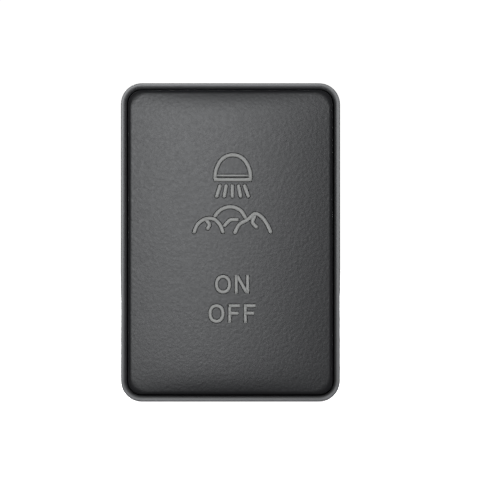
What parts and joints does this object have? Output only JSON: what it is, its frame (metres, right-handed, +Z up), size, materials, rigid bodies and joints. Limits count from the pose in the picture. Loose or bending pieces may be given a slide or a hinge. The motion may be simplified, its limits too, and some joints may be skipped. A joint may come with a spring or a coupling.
{
  "type": "dashboard switch",
  "caption": "Rectangular latching push-button switch for a dashboard opening: crowned back-lit button in a thin rim, snap-in body and a rear connector socket.",
  "frame": {"origin": "middle of the collar's rear face, where it seats on the panel", "axes": "+Y into the dashboard along the button's press, +Z up along the legend, +X to the driver's right"},
  "size_m": [0.0228, 0.0408, 0.0332],
  "materials": {
    "housing_plastic": "fine moulded satin, black",
    "base_plastic": "glass-filled, dull black",
    "button_plastic": "leather grain, black paint over a pale moulding",
    "clear_plastic": "milky clear",
    "plunger_plastic": "natural acetal",
    "spring_steel": "drawn bright",
    "contact_bronze": "rolled phosphor bronze",
    "terminal_brass": "stamped, thinly tinned",
    "board_laminate": "green solder mask",
    "lamp_case": "white moulded case",
    "chip_body": "dark glazed ceramic",
    "solder": "bright solder"
  },
  "bodies": {
    "body": {"housing": "housing_plastic", "rear_base": "base_plastic", "return_spring": "spring_steel", "latch_leaf": "spring_steel", "terminal_supply": "terminal_brass", "terminal_load": "terminal_brass", "terminal_ground": "terminal_brass", "terminal_dimmer": "terminal_brass", "lamp_board": "board_laminate", "legend_lamp_upper": "lamp_case", "legend_lamp_lower": "lamp_case", "state_lamp": "lamp_case", "legend_resistor": "chip_body", "state_resistor": "chip_body", "blocking_diode": "chip_body", "solder_joints": "solder"},
    "button": {"button_cap": "button_plastic", "light_guide": "clear_plastic", "plunger": "plunger_plastic", "moving_contact": "contact_bronze"},
    "latch": {"latch_pin": "spring_steel"}
  },
  "joints": [
    {"name": "button_press", "type": "slide", "parent": "body", "child": "button", "axis": [0, 1, 0], "range_m": [0, 0.0028], "stiffness_N_per_m": 700, "springref_m": -0.0025, "deforming": ["return_spring"]},
    {"name": "latch_swing", "type": "hinge", "parent": "body", "child": "latch", "pos_m": [0, 0.0142, 0], "axis": [0, 0, 1], "range_deg": [0, 17.06]}
  ],
  "couplings": [
    {"joint": "latch_swing", "follows": "button_press", "rad_per_m": 106.3}
  ]
}
